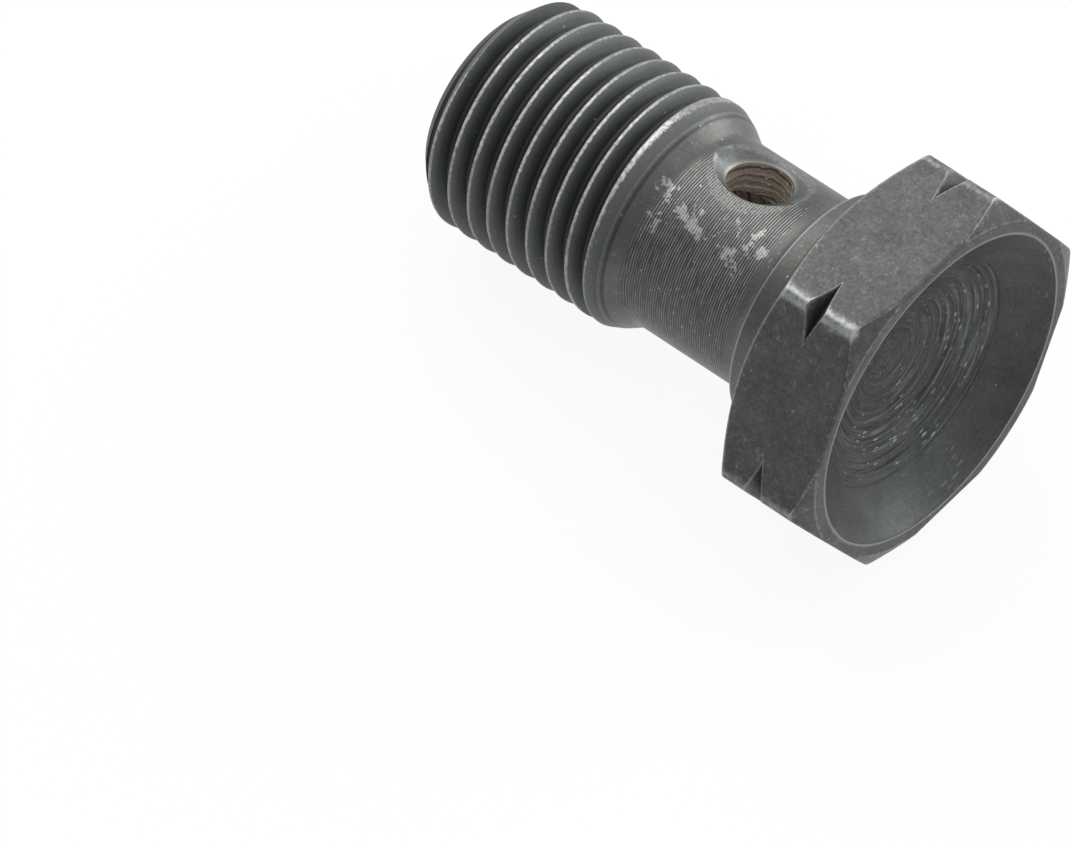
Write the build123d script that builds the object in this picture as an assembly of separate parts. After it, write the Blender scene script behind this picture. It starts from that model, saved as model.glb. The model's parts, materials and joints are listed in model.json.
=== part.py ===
from build123d import *
from build123d.topology import SkipClean
import os
from math import atan, atan2, ceil, cos, degrees, radians, sin, tan

# Banjo bolt: the hollow bolt that holds a ring-shaped brake hose end and feeds
# it with fluid through its own drilled shank. One turned piece, M10 x 1.0.
#
# Millimetres. The bolt is first made upright on its own axis: Z = 0 is the
# bearing face under the head, +Z points to the top of the head, and +X is
# square to one flat of the hexagon. At the end it is laid down as it rests.

# --- head ---------------------------------------------------------------------
ACROSS_FLATS = 14.3        # nominal 9/16 in hexagon
HEAD_HEIGHT = 4.65         # bearing face to rim
CHAMFER_ANGLE = 30.0       # slope of both turned head chamfers
RIM_DIAMETER = 14.54       # where the top chamfer starts, just over the flats
BEARING_DIAMETER = 13.6    # flat ring under the head that squeezes the washer
DISH_DIAMETER = 13.36      # mouth of the round hollow in the top
DISH_DEPTH = 2.75
MARK_HEIGHT = 2.35         # vee groove nicked round the six corners, above the face
MARK_DEPTH = 0.64          # into each corner
MARK_ANGLE = 70.0

# --- neck and shank -----------------------------------------------------------
LENGTH = 18.0              # bearing face to tip, the length it is sold by
NECK_DIAMETER = 10.0       # centres the washers and the hose end
NECK_LENGTH = 1.6
NECK_FILLET = 0.7          # foot of the neck, where it steps down to the shank
SHANK_DIAMETER = 8.25      # waist that leaves room for the fluid
SHOULDER_ANGLE = 36.0      # cone from the waist up to the thread
SHOULDER_FILLET = 0.8

# --- thread -------------------------------------------------------------------
THREAD_DIAMETER = 9.88
THREAD_PITCH = 1.0
THREAD_LENGTH = 9.05       # full-diameter length, measured from the tip
RUN_OUT_TURNS = 0.75       # part of a turn in which the groove fades out, on the shoulder
FLANK_ANGLE = 60.0
CREST_SHARE = 1 / 8        # flat crest, as a share of the pitch
ROOT_SHARE = 1 / 6         # flat root, as a share of the pitch
FIRST_CREST = 0.77         # first crest on the +X side, from the tip
TIP_CHAMFER = 0.98         # 45 degrees
CREST_ARCS = 8             # each turn of the crest is drawn as so many equal arcs

# --- drillings ----------------------------------------------------------------
BORE_DIAMETER = 5.0
DRILL_POINT = 118.0
BORE_OVERRUN = 0.4         # full bore past the cross drilling
BORE_CHAMFER = 0.3
CROSS_DIAMETER = 2.6
CROSS_DROP = 5.25          # axis below the bearing face
CROSS_CLOCK = -20.0        # from the +X flat
SINK_DIAMETER = 4.1
SINK_ANGLE = 110.0

# --- cutting tools ------------------------------------------------------------
TOOL_REACH = 1.0           # how far each cutter stands clear of the piece
LEAD_IN_TURNS = 1.0        # turns the groove cutter makes off the tip before the first crest
GROOVE_CLEARANCE = 0.06    # groove cutter above the crest, as a share of the pitch
DRAW_OUT_SHARE = 1.25      # run-out travel of the cutter, as a share of the run-out itself

# --- worked out from the sizes above ------------------------------------------
half_flats = ACROSS_FLATS / 2
corner_radius = half_flats / cos(radians(30))
rim_radius = RIM_DIAMETER / 2
bearing_radius = BEARING_DIAMETER / 2
neck_radius = NECK_DIAMETER / 2
shank_radius = SHANK_DIAMETER / 2
thread_radius = THREAD_DIAMETER / 2
bore_radius = BORE_DIAMETER / 2
chamfer_slope = tan(radians(CHAMFER_ANGLE))

crest_width = THREAD_PITCH * CREST_SHARE
root_width = THREAD_PITCH * ROOT_SHARE
flank_slope = tan(radians(FLANK_ANGLE / 2))
thread_depth = (THREAD_PITCH - crest_width - root_width) / 2 / flank_slope
root_radius = thread_radius - thread_depth

tip_z = -LENGTH
neck_end_z = -NECK_LENGTH
thread_end_z = tip_z + THREAD_LENGTH
shoulder_end_z = thread_end_z + (thread_radius - shank_radius) / tan(radians(SHOULDER_ANGLE))
cross_z = -CROSS_DROP
bore_end_z = cross_z + CROSS_DIAMETER / 2 + BORE_OVERRUN


def hexagon_head():
    """Hexagon prism turned to a 30 degree chamfer at the top and underneath."""
    prism = extrude(RegularPolygon(half_flats, 6, major_radius=False, rotation=30), HEAD_HEIGHT)
    past_corner = corner_radius + TOOL_REACH
    envelope = Polyline(
        (0, 0),
        (bearing_radius, 0),
        (past_corner, (past_corner - bearing_radius) * chamfer_slope),
        (past_corner, HEAD_HEIGHT - (past_corner - rim_radius) * chamfer_slope),
        (rim_radius, HEAD_HEIGHT),
        (0, HEAD_HEIGHT),
        close=True,
    )
    return prism & turned(envelope)


def turned(outline, angle=360):
    """Solid of revolution about the bolt's axis, from a closed (radius, height) outline."""
    return revolve(Plane.XZ * make_face(outline), Axis.Z, angle)


def dish():
    """Ball-shaped hollow in the top of the head."""
    mouth = DISH_DIAMETER / 2
    ball_radius = (mouth**2 + DISH_DEPTH**2) / (2 * DISH_DEPTH)
    return Pos(0, 0, HEAD_HEIGHT - DISH_DEPTH + ball_radius) * Sphere(ball_radius)


def corner_mark():
    """Vee groove turned round the head, shallow enough to touch the corners only."""
    floor_radius = corner_radius - MARK_DEPTH
    outer_radius = corner_radius + TOOL_REACH
    half_width = (outer_radius - floor_radius) * tan(radians(MARK_ANGLE / 2))
    return turned(
        Polyline(
            (floor_radius, MARK_HEIGHT),
            (outer_radius, MARK_HEIGHT + half_width),
            (outer_radius, MARK_HEIGHT - half_width),
            close=True,
        )
    )


def fillet_curve(start, corner, end):
    """Circular fillet from one leg of a corner to the other, drawn as a conic about the corner."""
    turn = (Vector(*corner) - Vector(*start)).get_angle(Vector(*end) - Vector(*corner))
    return Bezier(start, corner, end, weights=[1, cos(radians(turn / 2)), 1])


def neck_and_shank():
    """Neck, its hollow fillet, the waist and the cone that rises to the thread."""
    neck_foot = (shank_radius, neck_end_z)
    cone_foot = (shank_radius, shoulder_end_z)
    tangent_length = SHOULDER_FILLET * tan(radians(SHOULDER_ANGLE / 2))
    neck_face_end = (shank_radius + NECK_FILLET, neck_end_z)
    waist_start = (shank_radius, neck_end_z - NECK_FILLET)
    waist_end = (shank_radius, shoulder_end_z + tangent_length)
    cone_start = (
        shank_radius + tangent_length * sin(radians(SHOULDER_ANGLE)),
        shoulder_end_z - tangent_length * cos(radians(SHOULDER_ANGLE)),
    )
    outline = [
        Line((0, 0), (neck_radius, 0)),
        Line((neck_radius, 0), (neck_radius, neck_end_z)),
        Line((neck_radius, neck_end_z), neck_face_end),
        fillet_curve(neck_face_end, neck_foot, waist_start),
        Line(waist_start, waist_end),
        fillet_curve(waist_end, cone_foot, cone_start),
        Line(cone_start, (thread_radius, thread_end_z)),
        Line((thread_radius, thread_end_z), (0, thread_end_z)),
        Line((0, thread_end_z), (0, 0)),
    ]
    return turned(outline)


def thread_blank():
    """Plain rod the thread is cut in, with its chamfered tip, as a ring of equal arcs."""
    outline = Polyline(
        (0, thread_end_z),
        (thread_radius, thread_end_z),
        (thread_radius, tip_z + TIP_CHAMFER),
        (thread_radius - TIP_CHAMFER, tip_z),
        (0, tip_z),
        close=True,
    )
    arc = 360 / CREST_ARCS
    wedges = [Rot(0, 0, arc * index) * turned(outline, arc) for index in range(CREST_ARCS)]
    return wedges[0].fuse(*wedges[1:])


def groove_stretch(turns, widening=0.0):
    """Cutter for a stretch of the vee groove along a right-hand helix from the +X side.
    Where the helix widens, by an angle in degrees, the groove gets shallower."""
    clearance = GROOVE_CLEARANCE * THREAD_PITCH
    half_root = root_width / 2
    half_mouth = half_root + (thread_depth + clearance) * flank_slope
    section = Polyline(
        (root_radius, -half_root),
        (root_radius, half_root),
        (thread_radius + clearance, half_mouth),
        (thread_radius + clearance, -half_mouth),
        close=True,
    )
    slant_pitch = THREAD_PITCH / cos(radians(widening))
    helix = Helix(slant_pitch, turns * THREAD_PITCH, root_radius, cone_angle=widening)
    return sweep(Plane.XZ * make_face(section), path=helix, is_frenet=True)


def thread_groove():
    """The whole groove, end to end: equal stretches from off the tip, then the run-out."""
    start_z = tip_z + FIRST_CREST - (0.5 + LEAD_IN_TURNS) * THREAD_PITCH
    full_turns = LEAD_IN_TURNS + (THREAD_LENGTH - FIRST_CREST) / THREAD_PITCH
    stretches = ceil(full_turns)
    stretch_turns = full_turns / stretches
    widening = degrees(atan(thread_depth / (RUN_OUT_TURNS * THREAD_PITCH)))
    stretch = groove_stretch(stretch_turns)
    pieces = [at_turn(stretch, start_z, index * stretch_turns) for index in range(stretches)]
    run_out = groove_stretch(RUN_OUT_TURNS * DRAW_OUT_SHARE, widening)
    pieces.append(at_turn(run_out, start_z, full_turns))
    return pieces


def at_turn(cutter, start_z, turns):
    """Screw a cutter along the thread from its start."""
    return Pos(0, 0, start_z + turns * THREAD_PITCH) * Rot(0, 0, 360 * turns) * cutter


def axial_bore():
    """Blind drilling up from the tip, with its drill point and a broken edge."""
    point_depth = bore_radius / tan(radians(DRILL_POINT / 2))
    return turned(
        Polyline(
            (0, tip_z - TOOL_REACH),
            (bore_radius + BORE_CHAMFER + TOOL_REACH, tip_z - TOOL_REACH),
            (bore_radius, tip_z + BORE_CHAMFER),
            (bore_radius, bore_end_z),
            (0, bore_end_z + point_depth),
            close=True,
        )
    )


def cross_drilling():
    """Hole through both walls of the waist, countersunk at both mouths."""
    reach = neck_radius + TOOL_REACH
    sink_slope = tan(radians(SINK_ANGLE / 2))
    sink_foot = shank_radius - (SINK_DIAMETER - CROSS_DIAMETER) / 2 / sink_slope
    half = Polyline(
        (0, 0),
        (CROSS_DIAMETER / 2, 0),
        (CROSS_DIAMETER / 2, sink_foot),
        (CROSS_DIAMETER / 2 + (reach - sink_foot) * sink_slope, reach),
        (0, reach),
        close=True,
    )
    mouth = Pos(0, 0, cross_z) * Rot(0, 90, 0) * turned(half)
    return [Rot(0, 0, CROSS_CLOCK) * mouth, Rot(0, 0, CROSS_CLOCK + 180) * mouth]


def banjo_bolt():
    """The whole bolt, upright on its own axis. The arcs of the crest stay separate faces."""
    with SkipClean():
        bolt = thread_blank().fuse(neck_and_shank())
        bolt = bolt.cut(*thread_groove())
        bolt = bolt.fuse(hexagon_head())
        return bolt.cut(dish(), corner_mark(), axial_bore(), *cross_drilling())


def resting_tilt():
    """Slope of the bolt on a table, with a head flat and the first full crest touching it."""
    flat_foot_z = (half_flats - bearing_radius) * chamfer_slope
    crest_foot = FIRST_CREST - (THREAD_PITCH + crest_width) / 2
    turns_to_full_crest = ceil((TIP_CHAMFER - crest_foot) / THREAD_PITCH)
    crest_foot_z = tip_z + crest_foot + turns_to_full_crest * THREAD_PITCH
    return degrees(atan2(half_flats - thread_radius, flat_foot_z - crest_foot_z))


def laid_down(upright):
    """Lay the bolt on its side, head towards +X, the +X flat upwards."""
    resting = Rot(0, 90 - resting_tilt(), 0) * Rot(0, 0, 180) * upright
    box = resting.bounding_box()
    return Pos(-box.center().X, -box.center().Y, -box.min.Z) * resting


if __name__ == "__main__":
    os.makedirs("parts", exist_ok=True)
    export_step(laid_down(banjo_bolt()), "parts/banjo_bolt.step")
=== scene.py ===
# %% [markdown]
# # A banjo bolt, from bar to bolt
# A banjo bolt is a hollow screw: it clamps a ring-shaped hose end between two washers and lets the
# fluid through its own drilled shank. This one is turned from hexagon steel, drilled, threaded M10
# x 1.0 and blackened. The lesson makes it in the order a workshop would: turn a blank, mill the
# flats, nick the corners, cut the thread, drill the holes, and then give each surface its finish.

# %% Load the frame
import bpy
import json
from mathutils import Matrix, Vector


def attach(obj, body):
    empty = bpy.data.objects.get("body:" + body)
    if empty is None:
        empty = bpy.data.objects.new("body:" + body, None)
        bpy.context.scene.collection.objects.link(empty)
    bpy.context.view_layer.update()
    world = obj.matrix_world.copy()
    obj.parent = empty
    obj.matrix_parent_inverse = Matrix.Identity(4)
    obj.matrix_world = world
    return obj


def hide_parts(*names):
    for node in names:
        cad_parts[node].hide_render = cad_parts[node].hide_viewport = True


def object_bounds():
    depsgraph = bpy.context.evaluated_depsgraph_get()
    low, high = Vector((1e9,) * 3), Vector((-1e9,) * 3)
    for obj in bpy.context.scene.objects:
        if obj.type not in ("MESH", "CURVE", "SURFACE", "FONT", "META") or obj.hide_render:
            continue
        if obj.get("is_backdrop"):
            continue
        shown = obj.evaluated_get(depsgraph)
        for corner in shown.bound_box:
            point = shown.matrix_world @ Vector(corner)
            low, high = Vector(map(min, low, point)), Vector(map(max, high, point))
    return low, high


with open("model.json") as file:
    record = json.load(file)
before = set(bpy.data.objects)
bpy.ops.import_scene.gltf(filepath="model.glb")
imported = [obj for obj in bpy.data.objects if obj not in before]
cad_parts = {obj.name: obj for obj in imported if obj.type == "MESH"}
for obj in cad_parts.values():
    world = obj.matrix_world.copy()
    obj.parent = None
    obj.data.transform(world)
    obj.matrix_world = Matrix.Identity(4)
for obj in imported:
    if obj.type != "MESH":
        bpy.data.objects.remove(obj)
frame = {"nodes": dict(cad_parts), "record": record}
cad_box = [list(corner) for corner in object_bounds()]

import bpy
import json
from math import acos, asin, atan2, cos, degrees, hypot, pi, radians, sin, sqrt, tan
from mathutils import Matrix, Quaternion, Vector
from mathutils.kdtree import KDTree

print("CAD nodes:", sorted(frame["nodes"]))

# %% [markdown]
# ## Sizes
# Everything is modelled upright at one unit to the millimetre, because Blender's cutting and
# merging operators have tolerances that suit such sizes. Z = 0 is the face under the head, the
# head is above it, and X is square to one flat. At the end the bolt is shrunk to metres and laid
# on its side.

# %% Sizes of the bolt, in millimetres
MM = 0.001

# The head, its dish and the nicks in its corners
ACROSS_FLATS = 14.3
HEAD_HEIGHT = 4.65
CHAMFER_ANGLE = radians(30)
RIM_RADIUS = 7.27
BEARING_RADIUS = 6.8
DISH_RADIUS = 6.68
DISH_DEPTH = 2.75
MARK_HEIGHT = 2.35
MARK_DEPTH = 0.64
MARK_ANGLE = radians(70)

# The neck, the waist and the shoulder, whose two slopes meet in a lip
LENGTH = 18.0
NECK_RADIUS = 5.0
NECK_LENGTH = 1.6
NECK_FILLET = 0.7
SHANK_RADIUS = 4.16
SHOULDER_EDGE_Z = -8.45
SHOULDER_EDGE_RADIUS = 4.70
SHOULDER_ANGLE = radians(32)
SHOULDER_FILLET = 0.8

# The thread and the tip
THREAD_RADIUS = 4.94
THREAD_PITCH = 1.0
THREAD_LENGTH = 9.0
FIRST_CREST = 0.85
RUN_OUT_TURNS = 0.75
TIP_CHAMFER = 0.98

# The bore and the cross drilling
BORE_RADIUS = 2.5
BORE_OVERRUN = 0.4
DRILL_POINT = radians(118)
BORE_CHAMFER = 0.3
CROSS_RADIUS = 1.3
CROSS_DROP = 5.25
CROSS_CLOCK = radians(-19.8)
SINK_RADIUS = 2.06
SINK_ANGLE = radians(118)

# What follows from them
HALF_FLATS = ACROSS_FLATS / 2
CORNER_RADIUS = HALF_FLATS / cos(radians(30))
TIP_Z = -LENGTH
THREAD_END_Z = TIP_Z + THREAD_LENGTH
CREST_WIDTH = THREAD_PITCH / 8
ROOT_WIDTH = THREAD_PITCH / 6
FLANK_SLOPE = tan(radians(30))
THREAD_DEPTH = (THREAD_PITCH - CREST_WIDTH - ROOT_WIDTH) / 2 / FLANK_SLOPE
SHOULDER_END_Z = SHOULDER_EDGE_Z + (SHOULDER_EDGE_RADIUS - SHANK_RADIUS) / tan(SHOULDER_ANGLE)
BORE_END_Z = -CROSS_DROP + CROSS_RADIUS + BORE_OVERRUN
COLUMNS = 240
print("thread depth", round(THREAD_DEPTH, 3), "mm; corners at", round(CORNER_RADIUS, 3), "mm")

# %% [markdown]
# ## Finishes, by the tool that leaves them
# The whole bolt is black oxide over steel, but each tool leaves its own marks under it. So each
# kind of surface gets its own material, and a cutter carries the finish that it leaves: Blender
# hands it to the faces that the cut makes. The nodes are filled in later, once the shape is right.

# %% One material for each kind of surface
BLACKENED = ["milled_head", "turned_dish", "turned_shank", "cut_thread", "countersink"]
BROWNED = ["browned_and_lit_cross_drilling", "browned_and_lit_bore"]
finish = {name: bpy.data.materials.new("black_oxide_" + name) for name in BLACKENED}
finish |= {name: bpy.data.materials.new(name) for name in BROWNED}
print("finishes:", [material.name for material in finish.values()])

# %% [markdown]
# ## Helpers for the bench
# A turned shape is half a section spun about the axis. Its section is drawn point by point, with a
# helper that rounds each corner, since no real edge is perfectly sharp and the round catches the
# light. A spin makes one column of vertices for each step, all round the axis.

# %% Helpers for turning
JOIN_GAP = 0.0005


def rounded(before, corner, after, reach, steps=4):
    """Points of the curve that rounds a corner of a (radius, height) section, starting and ending
    a reach from the corner."""
    before, corner, after = Vector(before), Vector(corner), Vector(after)
    start = corner + (before - corner).normalized() * reach
    end = corner + (after - corner).normalized() * reach
    weight = sin((before - corner).angle(after - corner) / 2)
    points = []
    for step in range(steps + 1):
        t = step / steps
        parts = ((1 - t) ** 2, 2 * t * (1 - t) * weight, t**2)
        points.append(tuple((start * parts[0] + corner * parts[1] + end * parts[2]) / sum(parts)))
    return points


def rounded_section(corners):
    """Section from (radius, height, reach) corners; a corner with no reach stays sharp."""
    points = []
    for index, (radius, height, reach) in enumerate(corners):
        if reach:
            before, after = corners[index - 1][:2], corners[index + 1][:2]
            points += rounded(before, (radius, height), after, reach)
        else:
            points.append((radius, height))
    return points


def drawn_section(name, points):
    """An open line of (radius, height) points, drawn in edit mode by extruding one vertex."""
    bpy.ops.object.select_all(action="DESELECT")
    bpy.ops.mesh.primitive_plane_add(size=0.01)
    section = bpy.context.object
    section.name = name
    bpy.ops.object.mode_set(mode="EDIT")
    bpy.ops.mesh.merge(type="CENTER")
    bpy.ops.transform.translate(value=(points[0][0], 0, points[0][1]))
    for (radius, height), (next_radius, next_height) in zip(points, points[1:]):
        move = (next_radius - radius, 0, next_height - height)
        bpy.ops.mesh.extrude_region_move(TRANSFORM_OT_translate={"value": move})
    return section


def turned(name, points, columns=COLUMNS):
    """A closed body of revolution about Z, spun from a (radius, height) section."""
    body = drawn_section(name, points)
    bpy.ops.mesh.select_all(action="SELECT")
    bpy.ops.mesh.spin(steps=columns, angle=2 * pi, center=(0, 0, 0), axis=(0, 0, 1))
    bpy.ops.mesh.select_all(action="SELECT")
    bpy.ops.mesh.remove_doubles(threshold=JOIN_GAP)
    bpy.ops.mesh.normals_make_consistent(inside=False)
    bpy.ops.object.mode_set(mode="OBJECT")
    print(name, "turned:", len(body.data.polygons), "faces")
    return body


print("a rounded corner has", len(rounded((0, 1), (0, 0), (1, 0), 0.1)), "points")

# %% [markdown]
# ## The head
# The head starts as hexagon bar. Its top and underside are turned to a 30 degree chamfer, which
# leaves a curved edge on every flat, and a vee groove is turned just deep enough to nick the
# corners. All of this is one section that depends on how far round it is. So the head is spun with
# the section of a corner, and then each column of vertices is slid to the section of its own
# angle, as a mill would leave it. This keeps every edge on a row or column of the mesh, with a
# true round along it.

# %% Section of the head at any angle
CORNER_ROUND = 0.42
EDGE_REACH = 0.07
MOUTH_REACH = 0.05
EDGE_BREAK = 0.13
LEAST_MARK = 0.02
DISH_RINGS = 36
FLAT_ROWS = 4

corner_centre = (HALF_FLATS - CORNER_ROUND) / cos(radians(30))
dish_ball = (DISH_RADIUS**2 + DISH_DEPTH**2) / (2 * DISH_DEPTH)
dish_reach = asin(DISH_RADIUS / dish_ball)
dish_floor_z = HEAD_HEIGHT - DISH_DEPTH
mark_floor = CORNER_RADIUS - MARK_DEPTH
mark_slope = tan(MARK_ANGLE / 2)
dish = [
    (dish_ball * sin(reach), dish_floor_z + dish_ball * (1 - cos(reach)))
    for reach in (dish_reach * ring / DISH_RINGS for ring in range(DISH_RINGS))
]


def flat_radius(from_flat):
    """Radius of the hexagon bar, at an angle of 0 to 30 degrees from the middle of a flat."""
    from_corner = radians(30) - from_flat
    straight = HALF_FLATS / cos(from_flat)
    half_chord = CORNER_ROUND**2 - (corner_centre * sin(from_corner)) ** 2
    if half_chord < 0:
        return straight
    return min(straight, corner_centre * cos(from_corner) + sqrt(half_chord))


def head_section(from_flat):
    """Half a cut through the head, from the middle of the dish to the foot of the neck's side."""
    side = flat_radius(from_flat)
    rim = min(RIM_RADIUS, side - EDGE_BREAK)
    chamfer_foot = HEAD_HEIGHT - (side - rim) * tan(CHAMFER_ANGLE)
    under_foot = (side - BEARING_RADIUS) * tan(CHAMFER_ANGLE)
    mark_half = max((side - mark_floor) * mark_slope, LEAST_MARK)
    top = rounded_section([
        (*dish[-1], 0),
        (DISH_RADIUS, HEAD_HEIGHT, MOUTH_REACH),
        (rim, HEAD_HEIGHT, EDGE_REACH),
        (side, chamfer_foot, EDGE_REACH),
        (side, MARK_HEIGHT + mark_half, 0),
    ])
    bottom = rounded_section([
        (side, MARK_HEIGHT - mark_half, 0),
        (side, under_foot, EDGE_REACH),
        (BEARING_RADIUS, 0, EDGE_REACH),
        (NECK_RADIUS, 0, 0),
    ])
    shares = [row / FLAT_ROWS for row in range(1, FLAT_ROWS)]
    upper_flat = [Vector(top[-2]).lerp(top[-1], share) for share in shares]
    lower_flat = [Vector(bottom[0]).lerp(bottom[1], share) for share in shares]
    mark = [top[-1], (min(mark_floor, side), MARK_HEIGHT), bottom[0]]
    return dish[:-1] + top[:-1] + upper_flat + mark + lower_flat + bottom[1:]


print("points in the head's section:", {len(head_section(radians(a))) for a in range(31)})

# %% [markdown]
# ## The shank
# The section goes on down the neck, round its hollow fillet and along the waist to the shoulder,
# where the thread's blank starts. From the chamfered tip it turns back up the bore to the drill's
# point. The last number of each corner is how far back its rounding starts.

# %% Section of the shank, the thread's blank and the bore
WAIST_ROWS = (-4, -6)
shank_section = rounded_section([
    (NECK_RADIUS, 0, 0),
    (NECK_RADIUS, -NECK_LENGTH, 0.05),
    (SHANK_RADIUS, -NECK_LENGTH, NECK_FILLET),
    *[(SHANK_RADIUS, row, 0) for row in WAIST_ROWS],
    (SHANK_RADIUS, SHOULDER_END_Z, SHOULDER_FILLET * tan(SHOULDER_ANGLE / 2)),
    (SHOULDER_EDGE_RADIUS, SHOULDER_EDGE_Z, 0.04),
    (THREAD_RADIUS, THREAD_END_Z, 0.06),
    (THREAD_RADIUS, TIP_Z + TIP_CHAMFER, 0.03),
    (THREAD_RADIUS - TIP_CHAMFER, TIP_Z, 0.06),
    (BORE_RADIUS + BORE_CHAMFER, TIP_Z, 0.04),
    (BORE_RADIUS, TIP_Z + BORE_CHAMFER, 0.04),
    (BORE_RADIUS, BORE_END_Z, 0),
    (0, BORE_END_Z + BORE_RADIUS / tan(DRILL_POINT / 2), 0),
])
print("points in the shank's section:", len(shank_section))

# %% [markdown]
# ## The columns
# The columns stand closer together where the head needs them: round the six corners, and where a
# corner nick or the turned chamfer comes to its point.

# %% Angles of the columns
round_columns = [
    radians(30) - atan2(CORNER_ROUND * sin(a), corner_centre + CORNER_ROUND * cos(a))
    for a in map(radians, (30, 25, 20, 15, 10, 5))
]
chamfer_point = acos(HALF_FLATS / (RIM_RADIUS + EDGE_BREAK))
mark_point = acos(HALF_FLATS / mark_floor)


def spread(first, last, count):
    """So many equal steps from the first angle up to the last, without the last."""
    return [first + (last - first) * step / count for step in range(count)]


half_sector = (
    spread(0, chamfer_point, 5)
    + spread(chamfer_point, mark_point, 4)
    + spread(mark_point, round_columns[0], 5)
    + round_columns
)
sector = half_sector + [radians(30)] + [radians(60) - angle for angle in reversed(half_sector[1:])]
column_angles = [angle + radians(60) * flat for flat in range(6) for angle in sector]
half_corner = degrees(radians(30) - round_columns[0])
print(len(column_angles), "columns; a corner is round for", round(2 * half_corner, 2), "degrees")

# %% Mill the flats
HAIR = 0.001
NEAR = 0.02


def finder(section):
    """A tree that finds which point of a (radius, height) section is nearest."""
    points = KDTree(len(section))
    for index, (radius, height) in enumerate(section):
        points.insert((radius, 0, height), index)
    points.balance()
    return points


def mill_flats(body, spun_section, head_rows):
    """Slide every column to its own angle, and the head's rows to the section at that angle."""
    rows = finder(spun_section)
    sections = [head_section(min(angle, radians(60) - angle)) for angle in sector]
    for vertex in body.data.vertices:
        radius, height = hypot(vertex.co.x, vertex.co.y), vertex.co.z
        row = rows.find((radius, 0, height))[1]
        spun = atan2(vertex.co.y, vertex.co.x) if radius > HAIR else 0
        column = round(spun / (2 * pi) * COLUMNS) % COLUMNS
        angle = column_angles[column]
        if row < head_rows:
            radius, height = sections[column % len(sector)][row]
        vertex.co = (radius * cos(angle), radius * sin(angle), height)
    body.data.update()


def give_finishes(body, finish_of):
    """Give every face the finish that a function names for its middle's radius and height."""
    slots = {}
    for face in body.data.polygons:
        name = finish_of(hypot(face.center.x, face.center.y), face.center.z)
        if name not in slots:
            slots[name] = len(body.data.materials)
            body.data.materials.append(finish[name])
        face.material_index = slots[name]


def blank_finish(radius, height):
    """Finish of the turned blank."""
    if height > 0 or (height > -HAIR and radius > NECK_RADIUS):
        in_dish = radius < DISH_RADIUS and dish_floor_z - HAIR < height < HEAD_HEIGHT - HAIR
        return "turned_dish" if in_dish else "milled_head"
    if radius < BORE_RADIUS + NEAR:
        return "browned_and_lit_bore"
    return "cut_thread" if height < SHOULDER_EDGE_Z else "turned_shank"


blank_section = head_section(radians(30)) + shank_section[1:]
bolt = turned("banjo_bolt_body", blank_section)
mill_flats(bolt, blank_section, len(head_section(0)))
give_finishes(bolt, blank_finish)
print("head:", round(2 * flat_radius(0), 2), "mm across the flats")

# %% [markdown]
# ## The thread
# A thread is a vee groove with a helical path. The cutter is the section of the groove, spun for
# ten turns and slid along the axis by one pitch a turn, as a lathe's lead screw does. At the end
# the tool is drawn out over three quarters of a turn, so the groove runs out on the shoulder. Its
# mouth flares, which rounds the crests, and its foot is a little round, as a worn die leaves it.

# %% A helper that cuts
def cut_away(body, cutter):
    """Take the cutter out of the body, and clear the cutter off the bench."""
    bpy.ops.object.select_all(action="DESELECT")
    bpy.context.view_layer.objects.active = body
    cut = body.modifiers.new("cut", "BOOLEAN")
    cut.operation = "DIFFERENCE"
    cut.solver = "EXACT"
    cut.material_mode = "TRANSFER"
    cut.object = cutter
    bpy.ops.object.modifier_apply(modifier=cut.name)
    name = cutter.name
    bpy.data.objects.remove(cutter)
    print(name, "cut away:", len(body.data.polygons), "faces left")

# %% Outline of the groove
FOOT_REACH = 0.05
SHY = 0.004
CLEAR = 0.03
root_radius = THREAD_RADIUS - THREAD_DEPTH
crest_side = (THREAD_PITCH - CREST_WIDTH) / 2


def groove_wall(rounding, steps, mouth):
    """Half of the groove's outline, from its foot to its mouth, as (radius, side) points. The
    rounding ends shy of the blank's face, because two faces in one plane confuse a cut."""
    foot, crest = (root_radius, ROOT_WIDTH / 2), (THREAD_RADIUS - SHY, crest_side)
    wall = rounded((root_radius, 0), foot, crest, FOOT_REACH, 2)
    wall += rounded(foot, crest, (THREAD_RADIUS - SHY, mouth), rounding, steps)
    return wall + [(THREAD_RADIUS - SHY / 2, mouth), (THREAD_RADIUS + CLEAR, mouth)]


tip_facing = groove_wall(0.07, 4, 0.51 * THREAD_PITCH)
head_facing = groove_wall(0.02, 2, 0.47 * THREAD_PITCH)
groove_outline = tip_facing + [(r, -h) for r, h in reversed(head_facing)]
print("groove:", len(groove_outline), "points,", round(THREAD_RADIUS - root_radius, 3), "mm deep")

# %% Spin the groove's cutter
LEAD_IN_TURNS = 1.0
RUN_OUT_SPARE = 1.25
groove_start_z = TIP_Z + FIRST_CREST - (0.5 + LEAD_IN_TURNS) * THREAD_PITCH
full_turns = LEAD_IN_TURNS + (THREAD_LENGTH - FIRST_CREST) / THREAD_PITCH
all_turns = full_turns + RUN_OUT_TURNS * RUN_OUT_SPARE
groove_steps = round(all_turns * COLUMNS)

cutter = drawn_section("thread_groove", groove_outline)
bpy.ops.mesh.select_all(action="SELECT")
bpy.ops.mesh.edge_face_add()
bpy.ops.mesh.delete(type="ONLY_FACE")
bpy.ops.object.mode_set(mode="OBJECT")
screw = cutter.modifiers.new("screw", "SCREW")
screw.axis = "Z"
screw.angle = 2 * pi * groove_steps / COLUMNS
screw.screw_offset = THREAD_PITCH * groove_steps / COLUMNS
screw.steps = screw.render_steps = groove_steps
bpy.ops.object.modifier_apply(modifier=screw.name)
print("groove cutter:", len(cutter.data.vertices), "vertices,", groove_steps, "steps")

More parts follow.
